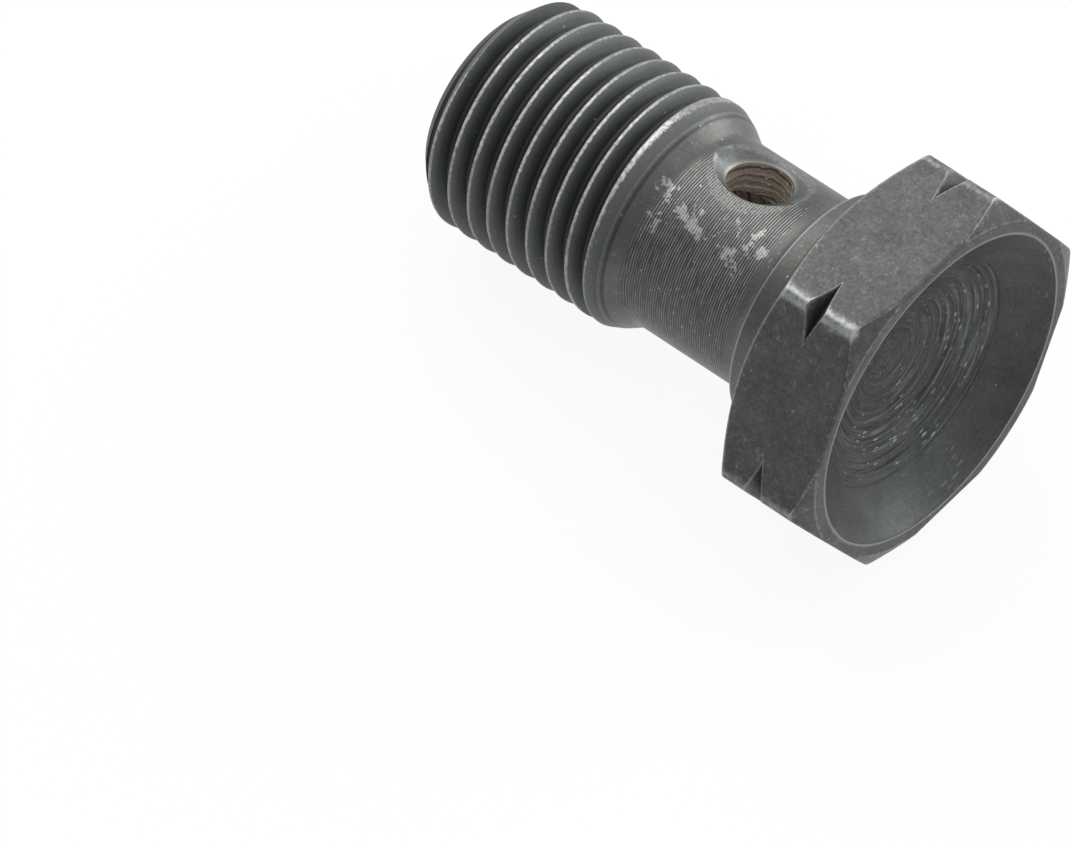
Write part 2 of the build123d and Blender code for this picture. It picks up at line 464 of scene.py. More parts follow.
# %% [markdown]
# The Screw modifier makes even steps, and the blank's columns aren't even. So every vertex of the
# cutter is moved to the angle of the column that it should meet, which keeps the cut's faces tidy,
# and past the last full turn it is drawn outwards.

# %% Fit the cutter to the columns, and cut the thread
corners = finder(groove_outline)
for index, vertex in enumerate(cutter.data.vertices):
    step = index // len(groove_outline)
    side = vertex.co.z - THREAD_PITCH * step / COLUMNS
    corner = corners.find((hypot(vertex.co.x, vertex.co.y), 0, side))[1]
    turn = step // COLUMNS + column_angles[step % COLUMNS] / (2 * pi)
    drawn_out = THREAD_DEPTH * max(0, turn - full_turns) / RUN_OUT_TURNS
    radius, side = groove_outline[corner][0] + drawn_out, groove_outline[corner][1]
    height = groove_start_z + turn * THREAD_PITCH + side
    vertex.co = (radius * cos(2 * pi * turn), radius * sin(2 * pi * turn), height)
bpy.ops.object.mode_set(mode="EDIT")
bpy.ops.mesh.select_all(action="SELECT")
bpy.ops.mesh.fill_holes(sides=0)
bpy.ops.mesh.select_all(action="SELECT")
bpy.ops.mesh.normals_make_consistent(inside=False)
bpy.ops.object.mode_set(mode="OBJECT")
give_finishes(cutter, lambda radius, height: "cut_thread")
cut_away(bolt, cutter)

# %% [markdown]
# ## The cross drilling
# One straight drill goes through both walls, with a wide countersink at each mouth. It is turned
# upright as a double-ended cutter and then laid across the shank.

# %% Drill the cross hole
DRILL_COLUMNS = 96
DRILL_SPARE = 1.0
DRILL_ROW = 1
SINK_FOOT_REACH = 0.05
sink_slope = tan(SINK_ANGLE / 2)
sink_foot = SHANK_RADIUS - (SINK_RADIUS - CROSS_RADIUS) / sink_slope
drill_reach = SHANK_RADIUS + DRILL_SPARE
drill_mouth = CROSS_RADIUS + (drill_reach - sink_foot) * sink_slope
upper_drill = rounded_section([
    (CROSS_RADIUS, DRILL_ROW, 0),
    (CROSS_RADIUS, sink_foot, SINK_FOOT_REACH),
    (drill_mouth, drill_reach, 0),
])
lower_drill = [(r, -z) for r, z in reversed(upper_drill)]
drill_section = [(0, -drill_reach), *lower_drill, *upper_drill, (0, drill_reach)]


def drill_finish(radius, height):
    """Finish that the drill, or the sink at either of its ends, leaves."""
    return "browned_and_lit_cross_drilling" if radius < CROSS_RADIUS + HAIR else "countersink"


drill = turned("cross_drill", drill_section, DRILL_COLUMNS)
give_finishes(drill, drill_finish)
drill.rotation_euler = (0, radians(90), CROSS_CLOCK)
drill.location = (0, 0, -CROSS_DROP)
bpy.ops.object.transform_apply(location=True, rotation=True, scale=False)
cut_away(bolt, drill)

# %% [markdown]
# ## Smooth faces, and the place on the bench
# The faces of one curved surface are shaded as one, and the edges that a cutter leaves stay crisp.
# Then the finished bolt is shrunk to metres and laid on its side, where the record's hexagon mount
# says the head is: its axis points out of the top of the head, and one flat faces up.

# %% Lay the bolt down
SEAM_GAP = 0.0015
CRISP_ANGLE = radians(32)
bpy.ops.object.select_all(action="DESELECT")
bolt.select_set(True)
bpy.context.view_layer.objects.active = bolt
bpy.ops.object.mode_set(mode="EDIT")
bpy.ops.mesh.select_all(action="SELECT")
bpy.ops.mesh.remove_doubles(threshold=SEAM_GAP)
bpy.ops.object.mode_set(mode="OBJECT")

hexagon = next(mount for mount in frame["record"]["mounts"] if mount["name"] == "spanner_hexagon")
head_axis = Vector(hexagon["axis"])
bearing_centre = Vector(hexagon["pos_m"]) - head_axis * HEAD_HEIGHT / 2 * MM
flat_up = (Vector((0, 0, 1)) - head_axis * head_axis.z).normalized()
turn_to_rest = Matrix((flat_up, head_axis.cross(flat_up), head_axis)).transposed()
to_rest = Matrix.Translation(bearing_centre) @ turn_to_rest.to_4x4()
bolt.matrix_world = to_rest @ Matrix.Scale(MM, 4)
bpy.ops.object.transform_apply(location=True, rotation=True, scale=True)
bpy.ops.object.shade_smooth_by_angle(angle=CRISP_ANGLE)
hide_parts("banjo_bolt")
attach(bolt, "root")
print("bolt:", len(bolt.data.polygons), "faces")
print("size in mm:", [round(side / MM, 2) for side in bolt.dimensions])

# %% [markdown]
# ## Camera
# The camera stands in front of the head, a little to the left of it and well above, on a long
# lens, so the far end of the bolt is drawn hardly smaller than the near one.

# %% Camera
AZIMUTH, ELEVATION, ROLL = radians(39.286), radians(56.975), radians(2.909)
DISTANCE = 0.34641
LENS = 306.3
aim = Vector((-0.00106, -0.009156, 0.00323))
away = Vector((sin(AZIMUTH) * cos(ELEVATION), -cos(AZIMUTH) * cos(ELEVATION), sin(ELEVATION)))
bpy.ops.object.camera_add(location=aim + away * DISTANCE)
camera = bpy.context.object
camera.name = "camera"
camera.rotation_mode = "QUATERNION"
camera.rotation_quaternion = (-away).to_track_quat("-Z", "Y") @ Quaternion((0, 0, 1), ROLL)
camera.data.sensor_width = 36
camera.data.lens = LENS
camera.data.clip_start = 0.01
bpy.context.scene.camera = camera
print("camera at", [round(side / MM) for side in camera.location], "mm")

# %% [markdown]
# ## Nodes for the finishes
# Black oxide is a conversion coat about a thousandth of a millimetre thick: it keeps the shape and
# the tool marks of the steel, turns it charcoal with a green or blue cast, and rubs through to
# bare steel on edges. One small function adds a node.

# %% A helper that adds a node
def srgb(code):
    """A hex colour, as linear RGBA."""
    parts = [int(code[i:i + 2], 16) / 255 for i in (1, 3, 5)]
    return [p / 12.92 if p <= 0.04045 else ((p + 0.055) / 1.055) ** 2.4 for p in parts] + [1.0]


def add(tree, kind, inputs=None, output=0, **settings):
    """Add a shader node, set it up, and give each input a value or a link. Returns one output."""
    node = tree.nodes.new("ShaderNode" + kind)
    for name, value in settings.items():
        setattr(node, name, value)
    for key, value in (inputs or {}).items():
        if isinstance(value, bpy.types.NodeSocket):
            tree.links.new(value, node.inputs[key])
        else:
            node.inputs[key].default_value = value
    return None if output is None else node.outputs[output]


print("charcoal in linear light:", [round(part, 4) for part in srgb("#4a4a4a")])

# %% [markdown]
# The place of a point comes first, because every pattern is worked out from it. The Mapping node
# turns the object's metres back to the upright bolt's millimetres, so a Scale of 7 in a pattern is
# seven grains to the millimetre. Patterns that run round the axis get a stretched place.

# %% Helpers that say where a point is
def emptied(material):
    """The node tree of a material, with nothing in it."""
    material.use_nodes = True
    material.node_tree.nodes.clear()
    return material.node_tree


def started(name):
    """The emptied nodes of a finish, and where a point is on the upright bolt, in millimetres: its
    place, height and radius."""
    tree = emptied(finish[name])
    laid = {"Vector": add(tree, "TexCoord", output="Object"), "Location": bearing_centre}
    laid |= {"Rotation": turn_to_rest.to_euler(), "Scale": (MM, MM, MM)}
    place = add(tree, "Mapping", laid, vector_type="TEXTURE")
    height = add(tree, "SeparateXYZ", {0: place}, "Z")
    level = add(tree, "VectorMath", {0: place, 1: (1, 1, 0)}, operation="MULTIPLY")
    radius = add(tree, "VectorMath", {0: level}, "Value", operation="LENGTH")
    return tree, place, height, radius


def round_the_axis(tree, place, per_radian, side, per_mm):
    """A place for patterns that run round the axis: so many grains to the radian along the turn,
    and so many to the millimetre across it, along a side that is the radius or the height."""
    level = add(tree, "VectorMath", {0: place, 1: (1, 1, 0)}, operation="MULTIPLY")
    outward = add(tree, "VectorMath", {0: level}, operation="NORMALIZE")
    turn = add(tree, "VectorMath", {0: outward, "Scale": per_radian}, operation="SCALE")
    lift = add(tree, "Math", {0: side, 1: per_mm}, operation="MULTIPLY")
    lift = add(tree, "CombineXYZ", {"Z": lift})
    return add(tree, "VectorMath", {0: turn, 1: lift}, operation="ADD")


print("bearing face laid at", [round(side / MM, 2) for side in bearing_centre], "mm")

# %% [markdown]
# A mask says, from 0 to 1, where a mark shows. Most are a ramp between two distances, cut up by
# noise, because nothing worn ends in a clean line. Noise that crumbles an edge has six to twelve
# grains to the millimetre, and noise that only makes a pattern vary has about one.

# %% Helpers that make masks
# The side rubbed the most is the upper side, which faces the light, so what is laid on it is
# partly a painted highlight.
WORN_AND_LIT_ANGLE = radians(22)
WORN_AND_LIT_EDGE, WORN_AND_LIT_MIDDLE = 0.72, 0.95  # cosines of the angle from there


def off_from(tree, value, level):
    """How far a value is from a level, on either side."""
    gap = add(tree, "Math", {0: value, 1: level}, operation="SUBTRACT")
    return add(tree, "Math", {0: gap}, operation="ABSOLUTE")


def ramp_in(tree, mask, value, start, end):
    """Inside another mask, a ramp from 0 to 1 as a value goes from start to end."""
    ramp = add(tree, "MapRange", {"Value": value, "From Min": start, "From Max": end})
    return add(tree, "Math", {0: ramp, 1: mask}, operation="MULTIPLY")


def patchy(tree, place, per_unit, detail, start, end, least=0.0, roughness=0.5):
    """Patches of noise, so many grains to a unit of the place: from the least to 1 as the noise
    goes from start to end."""
    noise = {"Vector": place, "Scale": per_unit, "Detail": detail, "Roughness": roughness}
    ramp = {"From Min": start, "From Max": end, "To Min": least}
    return add(tree, "MapRange", ramp | {"Value": add(tree, "TexNoise", noise)})


def roughened(tree, value, reach, place, per_mm, detail, roughness=0.5):
    """A value with noise of some reach added, so many grains to the millimetre."""
    noise = {"Vector": place, "Scale": per_mm, "Detail": detail, "Roughness": roughness}
    noise = {0: add(tree, "TexNoise", noise), 1: reach, 2: value}
    return add(tree, "Math", noise, operation="MULTIPLY_ADD")


def specks(tree, place, per_unit, share, size):
    """Dust and dings: so many cells to a unit of the place, and in a share of them a dot, up to
    some size as a share of the cell."""
    cells = {"Vector": place, "Scale": per_unit}
    distance = add(tree, "TexVoronoi", cells, "Distance")
    lot = add(tree, "SeparateColor", {0: add(tree, "TexVoronoi", cells, "Color")})
    reach = {"Value": lot, "From Max": share, "To Min": size, "To Max": 0.0}
    inside = {0: add(tree, "MapRange", reach), 1: distance}
    inside = add(tree, "Math", inside, operation="SUBTRACT")
    return add(tree, "MapRange", {"Value": inside, "From Max": size / 3})


def worn_and_lit_side(tree, place, radius):
    """From 0 to 1 towards the upper side, rubbed and lit the most: wear and a painted highlight.
    """
    side = (cos(WORN_AND_LIT_ANGLE), sin(WORN_AND_LIT_ANGLE), 0)
    reach = add(tree, "VectorMath", {0: place, 1: side}, "Value", operation="DOT_PRODUCT")
    share = add(tree, "Math", {0: reach, 1: radius}, operation="DIVIDE")
    ramp = {"Value": share, "From Min": WORN_AND_LIT_EDGE, "From Max": WORN_AND_LIT_MIDDLE}
    return add(tree, "MapRange", ramp, interpolation_type="SMOOTHSTEP")


# Rubbed and lit the most at this angle: what is painted there is wear and a painted highlight.
print("rubbed most at", round(degrees(WORN_AND_LIT_ANGLE)), "degrees from the flat that is up")

# %% [markdown]
# Then come the looks that every finish shares. The crystals of the oxide are thousandths of a
# millimetre, and a tool's grain is hundredths. Both are too fine to show, so they are drawn at an
# eighth of a millimetre or so. The clouds, about a millimetre wide, are where the bath was not
# quite even. Specks of dust have their real size, a tenth or two of a millimetre across.

# %% Helpers that put a finish together
CLOUDS_PER_MM = 0.9
PEPPER_PER_MM = 7.0
GRAINS_PER_MM = {"milled": 8.0, "turned": 9.0, "threaded": 8.0, "countersunk": 7.0}


def mottled(tree, place, dark, light):
    """The uneven charcoal of the oxide: broad clouds with a fine salt-and-pepper in them."""
    clouds = {"Vector": place, "Scale": CLOUDS_PER_MM, "Detail": 4.0, "Roughness": 0.6}
    clouds = add(tree, "TexNoise", clouds)
    pepper = add(tree, "TexNoise", {"Vector": place, "Scale": PEPPER_PER_MM, "Detail": 3.0})
    both = add(tree, "Mix", {0: 0.5, 2: clouds, 3: pepper})
    share = add(tree, "MapRange", {"Value": both, "From Min": 0.36, "From Max": 0.64})
    return add(tree, "Mix", {0: share, 6: srgb(dark), 7: srgb(light)}, 2, data_type="RGBA")


def painted(tree, colour, layers):
    """Lay colours over a colour, each with its mask and its strength."""
    for mask, strength, code in layers:
        share = add(tree, "Math", {0: mask, 1: strength}, operation="MULTIPLY")
        colour = add(tree, "Mix", {0: share, 6: colour, 7: srgb(code)}, 2, data_type="RGBA")
    return colour


def steel(tree, colour, roughness, height, relief_mm, metallic=1.0):
    """Finish a material: steel with this colour, roughness and relief."""
    bump = add(tree, "Bump", {"Height": height, "Distance": relief_mm * MM, "Strength": 1.0})
    skin = {"Base Color": colour, "Metallic": metallic, "Roughness": roughness, "Normal": bump}
    shader = add(tree, "BsdfPrincipled", skin)
    add(tree, "OutputMaterial", {"Surface": shader}, output=None)
    print("finish of", len(tree.nodes), "nodes, with a relief of", relief_mm, "mm")


print("peppered", round(1 / PEPPER_PER_MM, 2), "mm apart")

# %% [markdown]
# ### Milled head
# Black oxide on the drawn flats of hexagon bar. Its edges have knocked against other bolts in the
# blackening barrel, so pale steel shows along them, widest on the corners. The edges are found by
# sums: on any point of the head, one of the planes and cones that bound it is at distance nought,
# and where a second one is near too, there is an edge.

# %% Milled head: how near each face is
tree, place, height, radius = started("milled_head")
across = []
for turn in (0, radians(60), radians(120)):
    reach = {0: place, 1: (cos(turn), sin(turn), 0)}
    reach = add(tree, "VectorMath", reach, "Value", operation="DOT_PRODUCT")
    across.append(add(tree, "Math", {0: reach}, operation="ABSOLUTE"))
first_two = add(tree, "Math", {0: across[0], 1: across[1]}, operation="MAXIMUM")
least_two = add(tree, "Math", {0: across[0], 1: across[1]}, operation="MINIMUM")
widest = add(tree, "Math", {0: first_two, 1: across[2]}, operation="MAXIMUM")
other = add(tree, "Math", {0: first_two, 1: across[2]}, operation="MINIMUM")
second = add(tree, "Math", {0: other, 1: least_two}, operation="MAXIMUM")
below_top = add(tree, "Math", {0: HEAD_HEIGHT, 1: height}, operation="SUBTRACT")
chamfer = tan(CHAMFER_ANGLE)
slopes = {RIM_RADIUS: chamfer, BEARING_RADIUS: chamfer, mark_floor: mark_slope}
cones = [
    add(tree, "Math", {0: radius, 1: slope, 2: -start * slope}, operation="MULTIPLY_ADD")
    for start, slope in slopes.items()
]

# The two lengths that part a point from each face, and how wide the wear along the face is
faces = {
    "flat": (HALF_FLATS, widest, 0.10),
    "next flat": (HALF_FLATS, second, 0.42),
    "top chamfer": (below_top, cones[0], 0.06),
    "top": (below_top, 0.0, 0.05),
    "lower chamfer": (height, cones[1], 0.12),
    "nick": (off_from(tree, height, MARK_HEIGHT), cones[2], 0.09),
    "underside": (height, 0.0, 0.06),
}
gaps, near, edges = {}, {}, -1.0
for face, (outer, inner, reach) in faces.items():
    gaps[face] = add(tree, "Math", {0: outer, 1: inner}, operation="SUBTRACT")
    levels = {"Value": gaps[face], "From Max": reach, "To Min": 1.0, "To Max": 0.0}
    near[face] = add(tree, "MapRange", levels)
    edges = add(tree, "Math", {0: near[face], 1: edges}, operation="ADD")
print("faces that can meet in an edge:", list(near))

# %% [markdown]
# Wear is ragged, because an edge is knocked in places, about a third of a millimetre apart. The
# corners are worn widest, most of all on the upper side, which has lain against other bolts and
# faces the light, so there the bright corner is partly wear and partly a painted highlight; and
# not inside the nicks. Thick and thin scale make blotches of the same size, and long scuffs cross
# them.

# %% Milled head: wear and blotches
KNOCKS_PER_MM, BLOTCHES_PER_MM, SCUFFS_PER_MM = 3.5, 3.2, 0.8
SCUFF_LEVEL = 0.52
ragged = roughened(tree, edges, 1.6, place, KNOCKS_PER_MM, 5.0, 0.65)
rubbed = add(tree, "MapRange", {"Value": ragged, "From Min": 1.1, "From Max": 1.8})
worn_and_lit = worn_and_lit_side(tree, place, radius)
# The corners are paler towards the lit upper side: wear and a painted highlight.
worn_and_lit = add(tree, "Math", {0: worn_and_lit, 1: 0.8, 2: 0.2}, operation="MULTIPLY_ADD")
corner = ramp_in(tree, worn_and_lit, gaps["next flat"], 0.50, 0.16)
corner = ramp_in(tree, corner, gaps["nick"], 0.0, 0.05)
corner = ramp_in(tree, corner, ragged, 0.75, 1.5)
in_nick = add(tree, "MapRange", {"Value": gaps["nick"], "From Min": 0.05, "From Max": 0.0})
mouth = ramp_in(tree, near["top"], radius, DISH_RADIUS + 0.14, DISH_RADIUS + 0.04)
bright_blotches = patchy(tree, place, BLOTCHES_PER_MM, 5.0, 0.52, 0.72, roughness=0.7)
dark_blotches = patchy(tree, place, BLOTCHES_PER_MM, 5.0, 0.44, 0.30, roughness=0.7)
scuffs = {"Vector": place, "Scale": SCUFFS_PER_MM, "Detail": 2.5, "Distortion": 0.6}
scuffs = off_from(tree, add(tree, "TexNoise", scuffs), SCUFF_LEVEL)
scuffs = ramp_in(tree, bright_blotches, scuffs, 0.010, 0.002)
print("milled head so far:", len(tree.nodes), "nodes")

# %% [markdown]
# The colours go on from the broad to the fine: mottle, blotches, scuffs and specks, and then bare
# steel on the edges.

# %% Milled head: colour and grain
colour = painted(tree, mottled(tree, place, "#494a4a", "#5c5c5a"), [
    (bright_blotches, 0.4, "#747472"),
    (dark_blotches, 0.4, "#3a3b3b"),
    (scuffs, 0.8, "#9b9b98"),
    (specks(tree, place, 2.0, 0.30, 0.17), 0.5, "#93938f"),
    (specks(tree, place, 5.0, 0.16, 0.30), 0.45, "#8d8d8a"),
    (mouth, 0.5, "#a9a9a5"),
    (near["lower chamfer"], 0.35, "#8f8f8b"),
    (rubbed, 0.55, "#a0a09c"),
    (corner, 0.9, "#a9acae"),
    (in_nick, 0.35, "#4f5252"),
])
fine = {"Vector": place, "Scale": GRAINS_PER_MM["milled"], "Detail": 3.0, "Roughness": 0.6}
fine = add(tree, "TexNoise", fine)
rough = {"Value": fine, "From Min": 0.3, "From Max": 0.7, "To Min": 0.38, "To Max": 0.54}
steel(tree, colour, add(tree, "MapRange", rough), fine, 0.010)

# %% [markdown]
# ### Turned dish
# The hollow is faced with a form tool, which chatters: fine rings, each a little different, fade
# in and out round the dish, out to the circle where the tool stopped. Noise on the radius alone
# draws whole rings, a fifth of a millimetre apart, and noise on a place stretched round the axis
# breaks them into arcs.

# %% Turned dish: rings
TOOL_STOP = 4.95
RINGS_PER_MM = 5.0
ARCS_PER_RADIAN, ARCS_PER_MM = 1.3, 9.0
tree, place, height, radius = started("turned_dish")
rings = {"W": radius, "Scale": RINGS_PER_MM, "Detail": 5.0, "Roughness": 0.9}
rings = add(tree, "TexNoise", rings, noise_dimensions="1D")
arcs = round_the_axis(tree, place, ARCS_PER_RADIAN, radius, ARCS_PER_MM)
arcs = add(tree, "TexNoise", {"Vector": arcs, "Scale": 1.0, "Detail": 4.0, "Roughness": 0.7})
arcs = add(tree, "Mix", {0: 0.62, 2: rings, 3: arcs})
faced = {"Value": radius, "From Min": TOOL_STOP + 0.15, "From Max": TOOL_STOP - 0.1}
faced = add(tree, "MapRange", faced | {"To Min": 0.22})
strength = add(tree, "TexNoise", {"Vector": place, "Scale": 0.55})
strength = {"Value": strength, "From Min": 0.35, "From Max": 0.6, "To Min": 0.6, "To Max": 1.2}
strength = {0: add(tree, "MapRange", strength), 1: faced}
strength = add(tree, "Math", strength, operation="MULTIPLY")
chatter = add(tree, "Math", {0: arcs, 1: 0.5}, operation="SUBTRACT")
chatter = add(tree, "Math", {0: chatter, 1: strength}, operation="MULTIPLY")
ridges = add(tree, "MapRange", {"Value": chatter, "From Min": 0.02, "From Max": 0.11})
furrows = add(tree, "MapRange", {"Value": chatter, "From Min": -0.02, "From Max": -0.11})
stop_line = ramp_in(tree, strength, off_from(tree, radius, TOOL_STOP), 0.07, 0.02)
print("rings out to a radius of", TOOL_STOP, "mm")

# %% [markdown]
# Grey dust has settled along the rings, in dashes, and more of it in some parts than in others.

# %% Turned dish: dust, colour and relief
DASHES_PER_RADIAN = DASHES_PER_MM = 9.0
dust = round_the_axis(tree, place, DASHES_PER_RADIAN, radius, DASHES_PER_MM)
dust = specks(tree, dust, 1.0, 0.6, 0.42)
dusty = patchy(tree, place, 0.5, 3.0, 0.38, 0.52)
for part in (dusty, faced, patchy(tree, place, 3.0, 3.0, 0.35, 0.65, least=0.1)):
    dust = add(tree, "Math", {0: dust, 1: part}, operation="MULTIPLY")
colour = painted(tree, mottled(tree, place, "#404342", "#4d504e"), [
    (furrows, 0.75, "#1f2222"),
    (ridges, 0.6, "#787c79"),
    (stop_line, 0.6, "#1d2020"),
    (dust, 0.85, "#a3a6a2"),
    (specks(tree, place, 2.6, 0.10, 0.20), 0.6, "#a2a5a1"),
])
fine = add(tree, "TexNoise", {"Vector": place, "Scale": GRAINS_PER_MM["turned"]})
relief = add(tree, "Math", {0: chatter, 1: 4.0, 2: fine}, operation="MULTIPLY_ADD")
rough = {"Value": fine, "From Min": 0.2, "From Max": 0.8, "To Min": 0.36, "To Max": 0.52}
steel(tree, colour, add(tree, "MapRange", rough), relief, 0.003)

# %% [markdown]
# ### Turned shank
# The waist is turned with a feed of about a tenth of a millimetre, and left as it is, so every
# turn of the tool shows as a bright ridge and a dark furrow. A sine of the height draws them at
# their real spacing, and noise stretched round the axis breaks them. The neck, the fillets and the
# shoulder are smooth, and so is the side of the waist past the cross hole.

# %% Turned shank: the tool's turns
FEED = 0.112
WANDER = 0.05
BREAKS_PER_RADIAN, BREAKS_PER_MM = 6.0, 9.0
LEAN = (0.03, 0.10, 1.0)
SMOOTH_ANGLE = -58
waist_top = -NECK_LENGTH - NECK_FILLET


def waist_spot(angle, height):
    """Where a spot on the waist is, from its angle in degrees and its height."""
    return SHANK_RADIUS * cos(radians(angle)), SHANK_RADIUS * sin(radians(angle)), height


tree, place, height, radius = started("turned_shank")
turns = roughened(tree, height, WANDER, place, 0.8, 1.0)
turns = add(tree, "Math", {0: turns, 1: 2 * pi / FEED}, operation="MULTIPLY")
wave = add(tree, "Math", {0: turns}, operation="SINE")
ridge = add(tree, "MapRange", {"Value": wave, "From Min": -0.5})
leaning = add(tree, "VectorMath", {0: place, 1: LEAN}, "Value", operation="DOT_PRODUCT")
waist = {"Value": height, "From Min": waist_top - 0.05, "From Max": waist_top - 0.4}
waist = add(tree, "MapRange", waist)
waist = ramp_in(tree, waist, leaning, SHOULDER_END_Z + 0.15, SHOULDER_END_Z + 0.45)
smoothed = {0: place, 1: waist_spot(SMOOTH_ANGLE, -CROSS_DROP)}
smoothed = add(tree, "VectorMath", smoothed, "Value", operation="DISTANCE")
smoothed = {"Value": smoothed, "From Min": 1.6, "From Max": 3.4, "To Min": 0.15}
smoothed = add(tree, "MapRange", smoothed)
furrowed = add(tree, "Math", {0: waist, 1: smoothed}, operation="MULTIPLY")
broken = round_the_axis(tree, place, BREAKS_PER_RADIAN, height, BREAKS_PER_MM)
for part in (furrowed, patchy(tree, broken, 1.0, 3.0, 0.3, 0.6, least=0.2)):
    ridge = add(tree, "Math", {0: ridge, 1: part}, operation="MULTIPLY")
print("turns of the tool along the waist:", round((waist_top - SHOULDER_END_Z) / FEED))

# %% [markdown]
# Handling has rubbed silver patches on one side of the waist. Each is a spot at an angle, a height
# and a size. Their place is tangled with a noise of half a millimetre, which turns round spots
# into smears, and finer crumbs eat into them. The steel shines more on the ridges than between
# them.

# %% Turned shank: silver patches
RUBBED_SPOTS = [
    (17, -7.90, 0.30), (19, -7.65, 0.32), (22, -7.40, 0.32), (26, -7.15, 0.30), (32, -7.25, 0.32),
    (36, -7.30, 0.28), (40, -7.35, 0.24), (26, -6.50, 0.50), (27, -5.75, 0.54), (30, -5.40, 0.40),
    (25, -4.75, 0.28), (32, -3.95, 0.48), (35, -3.45, 0.30), (20, -2.70, 0.46), (14, -3.30, 0.34),
    (12, -4.30, 0.24), (18, -3.95, 0.30), (23, -3.40, 0.36), (15, -7.30, 0.24),
]
TANGLES_PER_MM, TANGLE_REACH = 2.2, 1.5
CRUMBS_PER_MM = 4.0
tangle = {"Vector": place, "Scale": TANGLES_PER_MM, "Detail": 3.0, "Roughness": 0.6}
tangle = add(tree, "TexNoise", tangle, "Color")
tangle = add(tree, "VectorMath", {0: tangle, 1: (0.5, 0.5, 0.5)}, operation="SUBTRACT")
tangled = {0: tangle, 1: [TANGLE_REACH] * 3, 2: place}
tangled = add(tree, "VectorMath", tangled, operation="MULTIPLY_ADD")
silver = 0.0
for angle, spot_height, size in RUBBED_SPOTS:
    gap = {0: tangled, 1: waist_spot(angle, spot_height)}
    gap = add(tree, "VectorMath", gap, "Value", operation="DISTANCE")
    here = add(tree, "MapRange", {"Value": gap, "From Min": size, "From Max": size * 0.2})
    silver = add(tree, "Math", {0: here, 1: silver}, operation="MAXIMUM")
silver = roughened(tree, silver, 3.0, place, CRUMBS_PER_MM, 6.0, 0.75)
on_ridges = add(tree, "Math", {0: ridge, 1: 0.7, 2: 0.45}, operation="MULTIPLY_ADD")
silver = ramp_in(tree, on_ridges, silver, 1.80, 2.25)
print("rubbed spots:", len(RUBBED_SPOTS))

# %% [markdown]
# The countersink has thrown up a thin, crumbled burr round itself. The foot of the neck has worn
# bright, with a painted highlight along its edge, and the lip of the shoulder has a dark line
# beside it. On the upper side, which faces the light, the ridges are painted paler: wear and a
# painted highlight.

# %% Turned shank: burr, edges, colour and relief
SHADE_GAP = 0.12
hole_axis = (cos(CROSS_CLOCK), sin(CROSS_CLOCK), 0)


def from_hole(tree, place):
    """How far a point is from the axis of the cross drilling, in millimetres."""
    offset = add(tree, "VectorMath", {0: place, 1: (0, 0, CROSS_DROP)}, operation="ADD")
    aside = add(tree, "VectorMath", {0: offset, 1: hole_axis}, operation="CROSS_PRODUCT")
    return add(tree, "VectorMath", {0: aside}, "Value", operation="LENGTH")


burr = patchy(tree, place, 12.0, 2.0, 0.42, 0.6)
burr = ramp_in(tree, burr, from_hole(tree, place), SINK_RADIUS + 0.09, SINK_RADIUS + 0.03)
# The bright line at the foot of the neck: wear and a painted highlight.
neck_edge_wear_and_highlight = {"Value": radius, "From Min": NECK_RADIUS - 0.07, "From Max": NECK_RADIUS - 0.01}
neck_edge_wear_and_highlight = add(tree, "MapRange", neck_edge_wear_and_highlight)
neck_edge_wear_and_highlight = ramp_in(tree, neck_edge_wear_and_highlight, height, 0.1 - NECK_LENGTH, 0.02 - NECK_LENGTH)
lip_gap = off_from(tree, height, SHOULDER_EDGE_Z + SHADE_GAP)
lip_shade = add(tree, "MapRange", {"Value": lip_gap, "From Min": 0.09, "From Max": 0.03})
worn_and_lit = worn_and_lit_side(tree, place, radius)
# The ridges are paler towards the lit upper side: wear and a painted highlight.
ridge_wear_and_highlight = add(tree, "Math", {0: ridge, 1: worn_and_lit}, operation="MULTIPLY")
colour = painted(tree, mottled(tree, place, "#575756", "#646462"), [
    (furrowed, 0.65, "#343433"),
    (ridge, 0.65, "#838380"),
    (ridge_wear_and_highlight, 0.6, "#b0b1ae"),
    (lip_shade, 0.55, "#2b2d2e"),
    (burr, 0.5, "#8f908e"),
    (silver, 0.95, "#c8c9c7"),
    (neck_edge_wear_and_highlight, 0.7, "#b4b5b2"),
    (specks(tree, place, 2.2, 0.12, 0.16), 0.8, "#c9cac7"),
    (specks(tree, place, 5.0, 0.16, 0.26), 0.6, "#a3a4a1"),
])
relief = roughened(tree, ridge, 0.4, place, GRAINS_PER_MM["turned"], 2.0)
roughness = add(tree, "MapRange", {"Value": ridge, "To Min": 0.42, "To Max": 0.34})
steel(tree, colour, roughness, relief, 0.013)

# %% [markdown]
# ### Cut thread
# The thread is dull, so this finish is made less metallic. Its grooves are painted darker towards
# the root, a painted shade, and lighter up the flanks towards the crests, a painted light. The
# crests carry the wear of every port the bolt has met: a line of pale steel, which the mask finds
# by its radius, nicked about seven times to the millimetre, and paler still on the upper side that
# faces the light, which is wear and a painted highlight. The shoulder's first, gentle slope is as
# dark as the thread except on that upper side, where it is painted lighter, partly a painted
# light, and it ends in a lip.

# %% Cut thread: crests, flanks and lip
NICKS_PER_MM, NICK_DEPTH = 7.0, 0.12
GAPS_PER_MM = 6.0
tree, place, height, radius = started("cut_thread")
nicks = roughened(tree, radius, NICK_DEPTH, place, NICKS_PER_MM, 4.0, 0.7)
nibbled = patchy(tree, place, GAPS_PER_MM, 5.0, 0.34, 0.62, least=0.15, roughness=0.75)
crest = ramp_in(tree, nibbled, nicks, THREAD_RADIUS + 0.022, THREAD_RADIUS + 0.052)
worn_and_lit = worn_and_lit_side(tree, place, radius)
